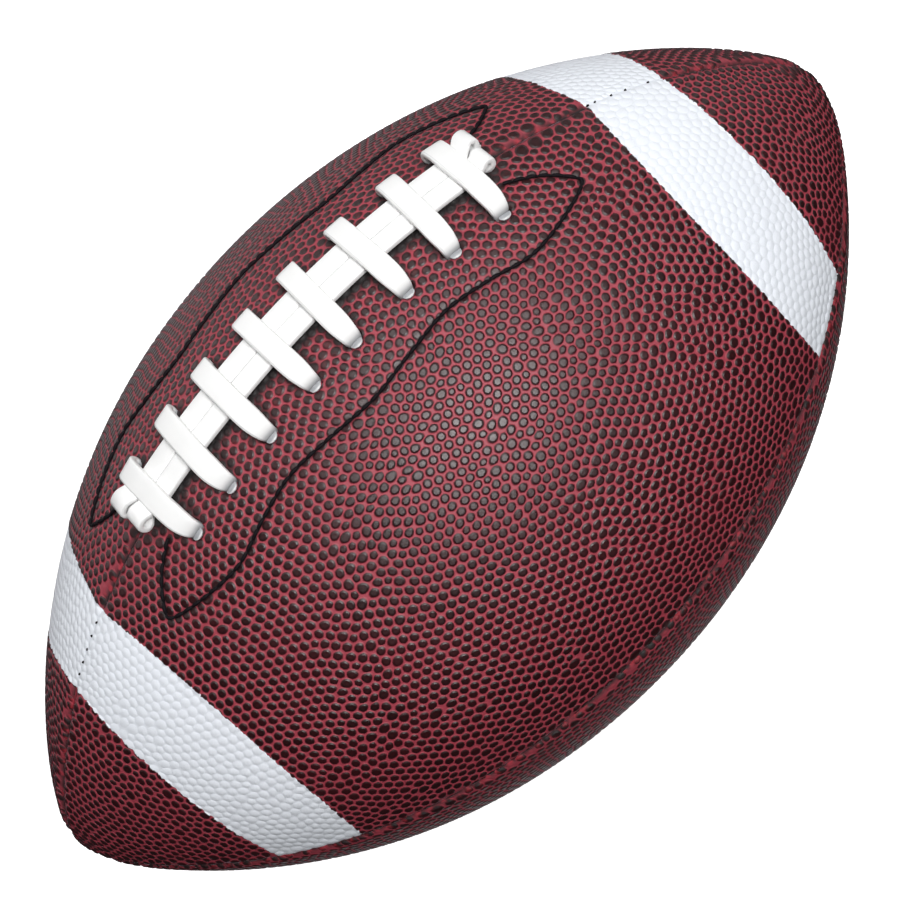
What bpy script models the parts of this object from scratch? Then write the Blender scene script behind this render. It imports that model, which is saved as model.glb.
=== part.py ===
"""American football: four pebbled leather panels laced over a rubber bladder.

The long axis is X, the laces are on top (+Z), and the front of the ball faces -Y. Every object hangs
from an empty at the middle of the ball, and the ball touches the ground at the world's origin.

Places on the ball are given by x, by an angle about X (0 at the laces, positive towards the front), and
by a height above the leather. Near the laces the angle is given as an arc s, in metres from the top seam.
"""

import math

import bmesh
import bpy
from mathutils import Matrix, Vector

# Ball
HALF_LENGTH = 0.146
RADIUS = 0.084
PROFILE_2 = -0.345  # the two terms that draw the round middle out into the pointed ends
PROFILE_4 = -0.331
SEAM_RISE = 0.018  # share by which the cross-section is fuller at the seams than on a true circle
REST_HEIGHT = RADIUS * (1 + SEAM_RISE)

# Walls, from the outside in
CLEARANCE = 0.0003
COVER = 0.0020
LINING_DEPTH = COVER + CLEARANCE
LINING = 0.0009
FACING_DEPTH = 0.0041
FACING = 0.0009
GUARD_DEPTH = 0.0080
GUARD = 0.0008
BLADDER_DEPTH = LINING_DEPTH + LINING + 3 * CLEARANCE
BLADDER = 0.0008
BLADDER_HOLLOW = 0.0056  # how much deeper the bladder lies under the lacing

# Panel edges
PANEL_GAP = 0.5 * CLEARANCE
LINING_GAP = 0.0012
SEGMENTS = 32
RINGS = 20
BLADDER_RINGS = 12

# Lacing
LACE_COUNT = 8
LACE_PITCH = 0.01535
LACE_CENTRE = -0.0022
LACE_WIDTH = 0.0062
LACE_THICKNESS = 0.0017
FRONT_ROW = 0.0163
BACK_ROW = -0.0117
HOLE_LENGTH = 0.0052
HOLE_WIDTH = 0.0046
STRAND_OFFSET = 0.00325
STRAND_WIDTH = 0.0060
SLIT_MOUTHS = ((-0.0606, 0.0046), (0.0566, 0.0046))  # middle and length of the two open ends
SLIT_MOUTH_WIDTH = 0.0072

# Black stitching of the facings, as points of half its outline: x from the middle of the lacing, and s
STITCH_OUTLINE = (
    (0.000, 0.0300),
    (0.014, 0.0284),
    (0.027, 0.0267),
    (0.039, 0.0278),
    (0.051, 0.0292),
    (0.063, 0.0258),
    (0.0725, 0.0207),
    (0.0715, 0.0172),
    (0.066, 0.0124),
    (0.059, 0.0092),
)
STITCH_DIAMETER = 0.0008
FACING_MARGIN = 0.0028
FACING_END = 0.0755

# Seam thread
THREAD_DIAMETER = 0.0009
THREAD_DEPTH = COVER + 2 * CLEARANCE + 0.5 * THREAD_DIAMETER
THREAD_END = 0.134
TOP_THREAD_FROM = (-0.0665, 0.0625)

# Valve, on the middle of the panel at the back and below
VALVE_ANGLE = math.radians(-135)
VALVE_RADIUS = 0.0036
VALVE_HOLE_RADIUS = 0.0040
VALVE_PROUD = 0.0002
NEEDLE_RADIUS = 0.0011
VALVE_BORE = 0.0023
VALVE_LENGTH = 0.0098
VALVE_FLANGE_RADIUS = 0.0095
VALVE_FLANGE_DEPTH = 0.0064
VALVE_FLANGE = 0.0012
VALVE_LIP = 0.0018
CORE_RADIUS = 0.0020
CORE_LENGTH = 0.0055
CORE_DEPTH = 0.0021

LEATHER = ("crimson_leather", (0.27, 0.035, 0.045, 1), 0.55)
CLOTH = ("lining_cloth", (0.62, 0.56, 0.45, 1), 0.9)
RUBBER = ("black_rubber", (0.02, 0.02, 0.022, 1), 0.6)
VINYL = ("white_vinyl", (0.9, 0.9, 0.89, 1), 0.4)
GREY_VINYL = ("grey_vinyl", (0.3, 0.3, 0.31, 1), 0.6)
BLACK_THREAD = ("black_thread", (0.012, 0.011, 0.013, 1), 0.7)


def start_scene():
    for old in list(bpy.data.objects):
        bpy.data.objects.remove(old, do_unlink=True)
    parts = bpy.data.collections.new("american_football")
    cutters = bpy.data.collections.new("cutters")
    for collection in (parts, cutters):
        bpy.context.scene.collection.children.link(collection)
    return parts, cutters


PARTS, CUTTERS = start_scene()
BALL = bpy.data.objects.new("ball_centre", None)
BALL.location = (0, 0, REST_HEIGHT)
PARTS.objects.link(BALL)


def material(look):
    name, colour, roughness = look
    found = bpy.data.materials.get(name)
    if found:
        return found
    made = bpy.data.materials.new(name)
    made.use_nodes = True
    shader = made.node_tree.nodes["Principled BSDF"]
    shader.inputs["Base Color"].default_value = colour
    shader.inputs["Roughness"].default_value = roughness
    shader.inputs["Metallic"].default_value = 0
    return made


def add_part(name, data, look):
    piece = bpy.data.objects.new(name, data)
    data.materials.append(material(look))
    PARTS.objects.link(piece)
    piece.parent = BALL
    return piece


def add_cutter(name, mesh):
    cutter = bpy.data.objects.new(name, mesh)
    cutter.hide_render = True
    cutter.display_type = "WIRE"
    CUTTERS.objects.link(cutter)
    cutter.parent = BALL
    return cutter


def mesh_from(bm, name, smooth=True):
    bm.normal_update()
    bmesh.ops.recalc_face_normals(bm, faces=bm.faces)
    mesh = bpy.data.meshes.new(name)
    bm.to_mesh(mesh)
    bm.free()
    if smooth:
        mesh.shade_smooth()
        mesh.set_sharp_from_angle(angle=math.radians(40))
    return mesh


def cut(piece, cutter, operation="DIFFERENCE"):
    boolean = piece.modifiers.new(cutter.name, "BOOLEAN")
    boolean.operation = operation
    boolean.object = cutter


def solidify(piece, thickness):
    shell = piece.modifiers.new("wall", "SOLIDIFY")
    shell.thickness = thickness
    shell.offset = -1
    shell.use_even_offset = True


# The shape of the ball


def ring_radius(x, angle):
    t = min(abs(x) / HALF_LENGTH, 1)
    turned = RADIUS * math.sqrt(max((1 - t * t) * (1 + PROFILE_2 * t**2 + PROFILE_4 * t**4), 0))
    return turned * (1 + SEAM_RISE * math.cos(4 * angle))


def skin(x, angle):
    radius = ring_radius(x, angle)
    return Vector((x, -radius * math.sin(angle), radius * math.cos(angle)))


def directions(x, angle):
    """Unit vectors along X over the leather, round towards the front, and out of the leather."""
    step = 1e-4
    along = (skin(x + step * HALF_LENGTH, angle) - skin(x - step * HALF_LENGTH, angle)).normalized()
    around = (skin(x, angle + step) - skin(x, angle - step)).normalized()
    return along, around, around.cross(along).normalized()


def place(x, angle, height=0.0):
    if abs(x) > 0.9995 * HALF_LENGTH:
        return Vector((math.copysign(HALF_LENGTH + height, x), 0, 0))
    return skin(x, angle) + height * directions(x, angle)[2]


def arc_angle(x, s):
    return s / ring_radius(x, 0)


def place_s(x, s, height=0.0):
    return place(x, arc_angle(x, s), height)


def fade(value, full, gone):
    """1 up to full, 0 from gone on, smooth between."""
    share = min(max((value - full) / (gone - full), 0), 1)
    return 1 - share * share * (3 - 2 * share)


def ball_surface(name, segments, rings, depth):
    """A closed skin of the ball at depth(x, angle) under the leather, shaped from a sphere."""
    bm = bmesh.new()
    bmesh.ops.create_uvsphere(bm, u_segments=segments, v_segments=rings, radius=1)
    for vertex in bm.verts:
        x = HALF_LENGTH * vertex.co.z
        angle = math.atan2(vertex.co.y, vertex.co.x)
        vertex.co = place(x, angle, -depth(x, angle))
    return mesh_from(bm, name)


# Cutters


def box_cutter(name, low, high):
    bm = bmesh.new()
    bmesh.ops.create_cube(bm, size=1)
    low, high = Vector(low), Vector(high)
    size = high - low
    middle = 0.5 * (low + high)
    for vertex in bm.verts:
        vertex.co = middle + Vector(a * b for a, b in zip(vertex.co, size, strict=True))
    return add_cutter(name, mesh_from(bm, name, smooth=False))


def quarter_cutter(side, top, gap):
    """A box round one panel's quarter of the ball: side is -1 in front, top is 1 above."""
    far = 0.2
    y = sorted((side * gap, side * far))
    z = sorted((top * gap, top * far))
    name = f"quarter_{side}_{top}_{round(gap * 1e6)}"
    return box_cutter(name, (-far, y[0], z[0]), (far, y[1], z[1]))


def surface_frame(x, angle):
    """Rotation whose Z leaves the leather and whose X runs along the ball."""
    along, around, out = directions(x, angle)
    return Matrix((along, -around, out)).transposed().to_4x4()


def lace_positions():
    first = LACE_CENTRE - 0.5 * (LACE_COUNT - 1) * LACE_PITCH
    return [first + i * LACE_PITCH for i in range(LACE_COUNT)]


def lace_hole_cutter(name, row):
    bm = bmesh.new()
    for x in lace_positions():
        angle = arc_angle(x, row)
        where = Matrix.Translation(place(x, angle, -0.003)) @ surface_frame(x, angle)
        oval = Matrix.Diagonal((HOLE_WIDTH, HOLE_LENGTH, 1, 1))
        bmesh.ops.create_cone(
            bm, cap_ends=True, segments=12, radius1=0.5, radius2=0.5, depth=0.014, matrix=where @ oval
        )
    return add_cutter(name, mesh_from(bm, name, smooth=False))


def slit_mouth_cutter(name, middle, length):
    bm = bmesh.new()
    where = Matrix.Translation(place_s(middle, 0, -0.0015)) @ surface_frame(middle, 0)
    bmesh.ops.create_cube(bm, size=1, matrix=where @ Matrix.Diagonal((length, SLIT_MOUTH_WIDTH, 0.015, 1)))
    return add_cutter(name, mesh_from(bm, name, smooth=False))


def valve_cutter():
    bm = bmesh.new()
    where = Matrix.Translation(place(0, VALVE_ANGLE)) @ surface_frame(0, VALVE_ANGLE)
    bmesh.ops.create_cone(
        bm,
        cap_ends=True,
        segments=24,
        radius1=VALVE_HOLE_RADIUS,
        radius2=VALVE_HOLE_RADIUS,
        depth=0.018,
        matrix=where,
    )
    return add_cutter("valve_hole", mesh_from(bm, "valve_hole", smooth=False))


FRONT_HOLES = lace_hole_cutter("front_lace_holes", FRONT_ROW)
BACK_HOLES = lace_hole_cutter("back_lace_holes", BACK_ROW)
MOUTHS = [slit_mouth_cutter(f"slit_mouth_{i}", *mouth) for i, mouth in enumerate(SLIT_MOUTHS)]
VALVE_HOLE = valve_cutter()


def cut_lacing(piece, side):
    cut(piece, FRONT_HOLES if side < 0 else BACK_HOLES)
    for mouth in MOUTHS:
        cut(piece, mouth)


# Covers and linings


def add_quarter(name, look, layer, side, top):
    surface, thickness, gap = layer
    piece = add_part(name, surface.copy(), look)
    solidify(piece, thickness)
    cut(piece, quarter_cutter(side, top, gap), "INTERSECT")
    if top > 0:
        cut_lacing(piece, side)
    if top < 0 and side > 0:
        cut(piece, VALVE_HOLE)


def add_panels():
    cover = ball_surface("cover", SEGMENTS, RINGS, lambda x, angle: 0.0)
    lining = ball_surface("lining", SEGMENTS, RINGS, lambda x, angle: LINING_DEPTH)
    quarters = (("front_top", -1, 1), ("back_top", 1, 1), ("front_bottom", -1, -1), ("back_bottom", 1, -1))
    for place_name, side, top in quarters:
        add_quarter(f"panel_{place_name}", LEATHER, (cover, COVER, PANEL_GAP), side, top)
        add_quarter(f"lining_{place_name}", CLOTH, (lining, LINING, LINING_GAP), side, top)


# Patches inside the lacing


def add_patch(name, look, columns, rows, edges, depth, thickness):
    """A shell that follows the inside of the ball, between the two edges s that edges(x) gives."""
    bm = bmesh.new()
    grid = []
    for x in columns:
        low, high = edges(x)
        stops = [low + (high - low) * i / rows for i in range(rows + 1)]
        grid.append([bm.verts.new(place_s(x, s, -depth)) for s in stops])
    for here, ahead in zip(grid, grid[1:]):
        for i in range(rows):
            bm.faces.new((here[i], ahead[i], ahead[i + 1], here[i + 1]))
    mesh = mesh_from(bm, name)
    middle = mesh.polygons[len(mesh.polygons) // 2]
    if middle.normal.z < 0:
        mesh.flip_normals()
    piece = add_part(name, mesh, look)
    solidify(piece, thickness)
    return piece


def even_steps(low, high, count):
    return [low + (high - low) * i / count for i in range(count + 1)]


def outline_s(reach, points):
    """s on a run of outline points whose x rises, at a distance reach from the middle of the lacing."""
    for (x0, s0), (x1, s1) in zip(points, points[1:]):
        if reach <= x1:
            return s0 + (s1 - s0) * (reach - x0) / (x1 - x0)
    return points[-1][1]


def facing_edges(x):
    """The facing ends in a lobe: its inner edge leaves the slit and meets the outer edge at the tip."""
    reach = abs(x - LACE_CENTRE)
    outer = outline_s(reach, STITCH_OUTLINE[:7]) + FACING_MARGIN * fade(reach, 0.066, 0.080)
    slit_end = 0.064
    lobe = max(reach - slit_end, 0) / (FACING_END - slit_end)
    return 0.0012 + 0.0150 * lobe, outer


def add_facings():
    columns = even_steps(LACE_CENTRE - FACING_END, LACE_CENTRE + FACING_END, 20)
    for name, side in (("lace_facing_front", 1), ("lace_facing_back", -1)):
        facing = add_patch(
            name,
            GREY_VINYL,
            columns,
            3,
            lambda x, side=side: tuple(side * s for s in facing_edges(x)),
            FACING_DEPTH,
            FACING,
        )
        cut_lacing(facing, -side)


def guard_edges(x):
    half_length, half_width = 0.071, 0.022
    share = min(abs(x - LACE_CENTRE) / half_length, 1)
    half = half_width * math.sqrt(1 - 0.85 * share**6)
    return -half, half


def add_guard():
    columns = even_steps(LACE_CENTRE - 0.071, LACE_CENTRE + 0.071, 14)
    add_patch("bladder_guard", GREY_VINYL, columns, 4, guard_edges, GUARD_DEPTH, GUARD)


# Bladder and valve


def bladder_depth(x, angle):
    under_lacing = fade(abs(x), 0.086, 0.110) * fade(abs(angle), math.radians(32), math.radians(58))
    return BLADDER_DEPTH + BLADDER_HOLLOW * under_lacing


def add_bladder():
    surface = ball_surface("bladder", SEGMENTS, BLADDER_RINGS, bladder_depth)
    bladder = add_part("bladder", surface, RUBBER)
    solidify(bladder, BLADDER)
    cut(bladder, VALVE_HOLE)


def add_turned(name, look, outline):
    """A solid turned about its own Z from a closed outline of (radius, z) points."""
    bm = bmesh.new()
    corners = [bm.verts.new((radius, 0, z)) for radius, z in outline]
    for a, b in zip(corners, corners[1:] + corners[:1]):
        bm.edges.new((a, b))
    mesh = bpy.data.meshes.new(name)
    bm.to_mesh(mesh)
    bm.free()
    piece = add_part(name, mesh, look)
    turn = piece.modifiers.new("turn", "SCREW")
    turn.steps = 24
    turn.render_steps = 24
    turn.use_merge_vertices = True
    turn.merge_threshold = 1e-5
    return piece


def stand_on_valve(piece):
    where = Matrix.Translation(place(0, VALVE_ANGLE)) @ surface_frame(0, VALVE_ANGLE)
    piece.matrix_local = where


def add_valve():
    flange_top = -VALVE_FLANGE_DEPTH
    flange_bottom = flange_top - VALVE_FLANGE
    outline = [
        (NEEDLE_RADIUS, VALVE_PROUD),
        (VALVE_RADIUS, VALVE_PROUD),
        (VALVE_RADIUS, flange_top),
        (VALVE_FLANGE_RADIUS, flange_top),
        (VALVE_FLANGE_RADIUS, flange_bottom),
        (VALVE_RADIUS, flange_bottom),
        (VALVE_RADIUS, -VALVE_LENGTH),
        (VALVE_BORE, -VALVE_LENGTH),
        (VALVE_BORE, -VALVE_LIP),
        (NEEDLE_RADIUS, -VALVE_LIP),
    ]
    stand_on_valve(add_turned("valve_housing", RUBBER, outline))
    bm = bmesh.new()
    bmesh.ops.create_cone(
        bm,
        cap_ends=True,
        segments=20,
        radius1=CORE_RADIUS,
        radius2=CORE_RADIUS,
        depth=CORE_LENGTH,
        matrix=Matrix.Translation((0, 0, -CORE_DEPTH - 0.5 * CORE_LENGTH)),
    )
    stand_on_valve(add_part("valve_core", mesh_from(bm, "valve_core"), GREY_VINYL))


# Lace: stations (x, s, height, width, thickness, width direction along X, width direction along s)


def strand_end(side, direction):
    """Stations from inside the ball, out of a slit mouth, round the end loop and onto a strand.

    direction is -1 at the end on -X and 1 at the end on +X. side is 1 for the front strand.
    """
    middle = SLIT_MOUTHS[0 if direction < 0 else 1][0]
    loop = 0.0044 if direction < 0 else 0.0027
    top = 0.0036 if direction < 0 else 0.0034
    near = side * 0.0017
    full = side * STRAND_OFFSET
    out = direction
    return [
        (middle + out * 0.0002, near, -0.0046, 0.0027, 0.0024, 0, 1),
        (middle + out * 0.0002, near, -0.0016, 0.0027, 0.0024, 0, 1),
        (middle + out * 0.0008, side * 0.0019, 0.0006, 0.0030, 0.0020, 0, 1),
        (middle + out * (loop - 0.0013), side * 0.0028, 0.0015, 0.0050, LACE_THICKNESS, 0, 1),
        (middle + out * loop, full, 0.5 * (top + 0.0015), STRAND_WIDTH, LACE_THICKNESS, 0, 1),
        (middle + out * (loop - 0.0011), full, top, STRAND_WIDTH, LACE_THICKNESS, 0, 1),
        (middle + out * 0.0008, full, top - 0.0004, STRAND_WIDTH, LACE_THICKNESS, 0, 1),
        (middle - out * 0.0015, full, 0.0019, STRAND_WIDTH, LACE_THICKNESS, 0, 1),
    ]


def strand_run(side):
    stops = even_steps(-0.0585, 0.0520, 12)
    return [(x, side * STRAND_OFFSET, 0.0012, STRAND_WIDTH, LACE_THICKNESS, 0, 1) for x in stops]


def crossing(x):
    """One cross lace, up out of the front hole, over the strands and down into the back hole."""
    over = 0.00330
    rows = [
        (0.0132, -0.0067, 0.0050, 0.0016),
        (0.0151, -0.0062, 0.0038, 0.0019),
        (0.0158, -0.0044, 0.0033, 0.0021),
        (0.0158, -0.0012, 0.0033, 0.0021),
        (0.0152, 0.0005, 0.0036, 0.0020),
        (0.0140, 0.0017, 0.0050, 0.0018),
        (0.0118, 0.0026, 0.0058, LACE_THICKNESS),
        (0.0088, 0.0032, LACE_WIDTH, LACE_THICKNESS),
        (0.0060, over, LACE_WIDTH, LACE_THICKNESS),
        (0.0000, over, LACE_WIDTH, LACE_THICKNESS),
        (-0.0060, over, LACE_WIDTH, LACE_THICKNESS),
        (-0.0086, 0.0031, LACE_WIDTH, LACE_THICKNESS),
        (-0.0102, 0.0021, 0.0056, LACE_THICKNESS),
        (-0.0111, 0.0006, 0.0038, 0.0020),
        (-0.0114, -0.0012, 0.0033, 0.0021),
        (-0.0114, -0.0044, 0.0033, 0.0021),
        (-0.0107, -0.0062, 0.0038, 0.0019),
        (-0.0088, -0.0067, 0.0050, 0.0016),
    ]
    return [(x, s, height, width, thick, 1, 0) for s, height, width, thick in rows]


def diagonal(x_from, x_to):
    """The run inside the ball from one back hole to the next front hole."""
    stations = []
    for share in (0.33, 0.67):
        x = x_from + (x_to - x_from) * share
        s = -0.0088 + 0.0220 * share
        stations.append((x, s, -0.0067, 0.0056, 0.0016, 1, 0))
    return stations


def lace_route():
    laces = lace_positions()
    tail_left = [
        (-0.0700, 0.0034, -0.0067, 0.0046, 0.0016, 0, 1),
        (-0.0650, 0.0028, -0.0067, 0.0040, 0.0018, 0, 1),
        (-0.0620, 0.0019, -0.0062, 0.0028, 0.0022, 0, 1),
    ]
    link_right = [
        (0.0576, 0.0019, -0.0063, 0.0027, 0.0022, 0.3, 1),
        (0.0570, 0.0046, -0.0067, 0.0032, 0.0018, 0.8, 0.6),
        (0.0545, 0.0080, -0.0067, 0.0036, 0.0018, 0.9, 0.6),
        (0.0522, 0.0110, -0.0067, 0.0044, 0.0016, 1, 0.3),
    ]
    link_left = [
        (-0.0570, -0.0072, -0.0067, 0.0044, 0.0015, 1, -0.4),
        (-0.0590, -0.0048, -0.0067, 0.0034, 0.0015, 0.9, -0.8),
        (-0.0609, -0.0026, -0.0063, 0.0028, 0.0018, 0.6, -1),
    ]
    tail_right = [
        (0.0584, -0.0019, -0.0062, 0.0028, 0.0022, 0, 1),
        (0.0610, -0.0028, -0.0067, 0.0040, 0.0018, 0, 1),
        (0.0660, -0.0034, -0.0067, 0.0046, 0.0016, 0, 1),
    ]
    route = tail_left + strand_end(1, -1) + strand_run(1)
    route += list(reversed(strand_end(1, 1))) + link_right
    for i in range(LACE_COUNT - 1, -1, -1):
        route += crossing(laces[i])
        if i:
            route += diagonal(laces[i], laces[i - 1])
    route += link_left + strand_end(-1, -1) + strand_run(-1)
    return route + list(reversed(strand_end(-1, 1))) + tail_right


def strap_section(width, thick):
    """Corners of a flat strap's section, with its edges rounded off, in halves of width and thickness."""
    a, b = 0.5 * width, 0.5 * thick
    trim = 0.55 * b
    quarter = [(a, b - trim), (a - trim, b)]
    top = quarter + [(-u, v) for u, v in reversed(quarter)]
    return top + [(-u, -v) for u, v in top]


def add_lace():
    route = lace_route()
    points = [place_s(x, s, height) for x, s, height, *_ in route]
    bm = bmesh.new()
    rings = []
    side = None
    for i, (x, s, _, width, thick, along_x, along_s) in enumerate(route):
        tangent = (points[min(i + 1, len(points) - 1)] - points[max(i - 1, 0)]).normalized()
        along, around, _ = directions(x, arc_angle(x, s))
        wish = along_x * along + along_s * around
        wish = (wish - wish.dot(tangent) * tangent).normalized()
        if side is not None and side.dot(wish) < 0:
            wish = -wish
        side = wish
        out = side.cross(tangent)
        corners = strap_section(width, thick)
        rings.append([bm.verts.new(points[i] + u * side + v * out) for u, v in corners])
    for here, ahead in zip(rings, rings[1:]):
        for j in range(len(here)):
            k = (j + 1) % len(here)
            bm.faces.new((here[j], here[k], ahead[k], ahead[j]))
    bm.faces.new(rings[0])
    bm.faces.new(rings[-1])
    add_part("lace", mesh_from(bm, "lace"), VINYL)


# Threads


def add_thread(name, look, points, diameter):
    curve = bpy.data.curves.new(name, "CURVE")
    curve.dimensions = "3D"
    curve.bevel_depth = 0.5 * diameter
    curve.bevel_resolution = 1
    curve.use_fill_caps = True
    spline = curve.splines.new("POLY")
    spline.points.add(len(points) - 1)
    for target, point in zip(spline.points, points):
        target.co = (*point, 1)
    add_part(name, curve, look)


def add_seam_threads():
    whole = even_steps(-THREAD_END, THREAD_END, 22)
    seams = (("front", math.radians(90)), ("bottom", math.radians(180)), ("back", math.radians(-90)))
    for name, angle in seams:
        points = [place(x, angle, -THREAD_DEPTH) for x in whole]
        add_thread(f"seam_thread_{name}", BLACK_THREAD, points, THREAD_DIAMETER)
    left, right = TOP_THREAD_FROM
    for name, ends in (("top_left", (-THREAD_END, left)), ("top_right", (right, THREAD_END))):
        points = [place(x, 0, -THREAD_DEPTH) for x in even_steps(*ends, 7)]
        add_thread(f"seam_thread_{name}", BLACK_THREAD, points, THREAD_DIAMETER)


def stitch_route():
    """The whole outline of one facing's stitching, from the -X end round to the +X end."""
    middle, *half = STITCH_OUTLINE
    left = [(LACE_CENTRE - x, s) for x, s in reversed(half)]
    right = [(LACE_CENTRE + x, s) for x, s in half]
    return left + [(LACE_CENTRE + middle[0], middle[1])] + right


def smooth_run(points, per_span):
    """Points on a Catmull-Rom curve through the given ones."""
    knots = [Vector(point) for point in [points[0]] + points + [points[-1]]]
    run = []
    for a, b, c, d in zip(knots, knots[1:], knots[2:], knots[3:]):
        for i in range(per_span):
            t = i / per_span
            bend = 2 * a - 5 * b + 4 * c - d
            twist = 3 * b - a - 3 * c + d
            run.append(b + 0.5 * t * (c - a + t * (bend + t * twist)))
    return run + [knots[-2]]


def add_facing_stitches():
    height = CLEARANCE + 0.5 * STITCH_DIAMETER
    for name, side in (("front", 1), ("back", -1)):
        run = smooth_run(stitch_route(), 2)
        points = [place_s(x, side * s, height) for x, s in run]
        add_thread(f"facing_stitch_{name}", BLACK_THREAD, points, STITCH_DIAMETER)


add_panels()
add_facings()
add_guard()
add_bladder()
add_valve()
add_lace()
add_seam_threads()
add_facing_stitches()
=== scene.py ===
"""The looks of the american football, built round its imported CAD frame.

Places on the ball are given by theta, which runs from tip to tip (x = HALF_LENGTH * sin(theta)), by an angle
about X (0 at the laces, positive towards the front), and by a height above the leather. Near the laces the
angle is given as an arc s, in metres from the top seam.
"""

import math

import bpy
import numpy as np
from mathutils import Matrix, Vector, geometry, kdtree, noise


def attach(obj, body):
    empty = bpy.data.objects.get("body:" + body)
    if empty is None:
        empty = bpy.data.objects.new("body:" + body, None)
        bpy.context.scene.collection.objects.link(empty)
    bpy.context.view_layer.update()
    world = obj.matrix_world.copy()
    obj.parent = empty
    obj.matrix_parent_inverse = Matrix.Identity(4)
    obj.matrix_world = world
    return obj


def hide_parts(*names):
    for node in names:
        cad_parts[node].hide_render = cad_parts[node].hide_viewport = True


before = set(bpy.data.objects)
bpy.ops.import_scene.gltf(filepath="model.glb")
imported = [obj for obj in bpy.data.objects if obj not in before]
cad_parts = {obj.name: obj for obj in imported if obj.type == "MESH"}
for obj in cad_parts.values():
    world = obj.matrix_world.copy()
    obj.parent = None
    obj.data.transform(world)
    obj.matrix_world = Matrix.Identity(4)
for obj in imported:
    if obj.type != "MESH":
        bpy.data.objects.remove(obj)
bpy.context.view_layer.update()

QUARTER = 0.5 * math.pi

# A distance that stands for nothing near
FAR = 1.0

# Ball: its profile is an oval drawn in by two powers of the sine, and it stands out a little at the seams
HALF_LENGTH = 0.146
RADIUS = 0.084
PROFILE_2 = -0.345
PROFILE_4 = -0.331
SEAM_RISE = 0.018
CENTRE = Vector((0, 0, RADIUS * (1 + SEAM_RISE)))
COVER = 0.0020
PANEL_GAP = 0.00001

# Grain of the leather: its foot, sides and top are shares of the way from its middle to its corners
PITCH = 0.00280
GRAIN_HEIGHT = 0.00034
GRAIN_BASE = 0.87
GRAIN_TOP = 0.55
SIDE_REACH = 1.08
DOME = 1.06
RELAXING_ROUNDS = 16
SWIRL_SCALE = 26.0
SWIRL_REACH = 0.0009

# Value of the attribute "stripe" far from any stripe
NO_STRIPE = -0.01

# Values of the attribute "grain" at a grain's foot and at the rim of its top; its middle has 1
FOOT_VALUE = 0.25
RIM_VALUE = 0.82

# Seams between the covers
SEAM_SITES = 230
SEAM_MARGIN = 0.0009
SEAM_GROOVE = 0.0008
PAINTED_SEAM_GROOVE = 0.00008
SEAM_PULL = 2.6

# The plain inner face of a cover has one point for so many grains
INNER_THINNING = 8

# Lacing
LACE_COUNT = 8
LACE_PITCH = 0.01535
LACE_CENTRE = -0.0022
LACE_WIDTH = 0.0062
LACE_THICKNESS = 0.0017
FRONT_ROW = 0.0163
BACK_ROW = -0.0117
STRAND_OFFSET = 0.00302
STRAND_WIDTH = 0.0060
SLIT_ENDS = (-0.0606, 0.0566)

# Height of the lace where it runs inside the ball
INSIDE = -0.0067

# How far each lace's front and back holes are out of the even row, from the -X end
LACE_DRIFT = (
    (0.0009, -0.0002),
    (-0.0005, 0.0000),
    (-0.0005, -0.0009),
    (0.0000, -0.0007),
    (-0.0011, -0.0004),
    (0.0005, 0.0000),
    (-0.0001, 0.0012),
    (-0.0004, -0.0002),
)

# How far each lace, and the strands under it, lie off the even rows, towards the front
LACE_SWAY = (-0.0019, -0.0012, -0.0007, -0.0006, -0.0006, -0.0006, -0.0006, -0.0009)

# Of each strand's end loops, by its side and end: reach past the slit, sideways sway, and height
LOOPS = {
    (1, -1): (0.0023, 0.0002, 0.0044),
    (-1, -1): (0.0034, -0.0009, 0.0044),
    (1, 1): (0.0015, -0.0004, 0.0038),
    (-1, 1): (0.0024, -0.0018, 0.0043),
}

# Black stitching of the facings, as points of half its outline: x from the middle of the lacing, and s
STITCH_OUTLINE = (
    (0.000, 0.0300),
    (0.014, 0.0284),
    (0.027, 0.0267),
    (0.039, 0.0278),
    (0.051, 0.0292),
    (0.063, 0.0258),
    (0.0725, 0.0207),
    (0.0715, 0.0172),
    (0.066, 0.0124),
    (0.059, 0.0092),
)

# Length of one black stitch, and depth of the groove that the stitches pull in the leather
STITCH_LENGTH = 0.0029
STITCH_GROOVE = 0.00025

# Thread of the top seam: where it shows on each stripe, from the middle of the ball, and its height elsewhere
LEFT_DOTS = (0.0911, 0.0947, 0.0983, 0.1017, 0.1049)
RIGHT_DOTS = (0.0881, 0.0901, 0.0946, 0.0985, 0.1047)
BURIED = -0.0029

# Valve
VALVE_ANGLE = math.radians(-135)
VALVE_HOLE = 0.0040

# Lights: name, azimuth, elevation, distance, size and power
LIGHTS = (
    ("key", 13, 50, 1.3, 0.60, 13.0),
    ("softbox", 60, 76, 1.4, 1.1, 7.6),
    ("back", -150, 40, 1.3, 1.3, 3.8),
    ("backdrop", 180, 5, 1.2, 1.6, 3.4),
    ("table", 180, -70, 0.8, 1.0, 2.4),
    ("rim", 112, 8, 1.3, 1.1, 1.7),
)


# The shape of the ball


def girth(theta):
    sine = np.sin(theta)
    bulge = 1 + PROFILE_2 * sine**2 + PROFILE_4 * sine**4
    return RADIUS * np.cos(theta) * np.sqrt(bulge)


def skin(theta, angle):
    radius = girth(theta) * (1 + SEAM_RISE * np.cos(4 * angle))
    x = HALF_LENGTH * np.sin(theta)
    return np.stack([x + 0 * radius, -radius * np.sin(angle), radius * np.cos(angle) + CENTRE.z], axis=-1)


def unit(vectors):
    return vectors / np.maximum(np.linalg.norm(vectors, axis=-1, keepdims=True), 1e-12)


def directions(theta, angle):
    """Unit vectors along X over the leather, round towards the front, and out of the leather."""
    step = 1e-4
    along = unit(skin(theta + step, angle) - skin(theta - step, angle))
    around = unit(skin(theta, angle + step) - skin(theta, angle - step))
    out = unit(np.cross(around, along))
    at_tip = girth(theta)[..., None] < 1e-5
    tip = np.stack([np.sign(theta), 0 * theta, 0 * theta], axis=-1)
    return along, around, np.where(at_tip, tip, out)


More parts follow.
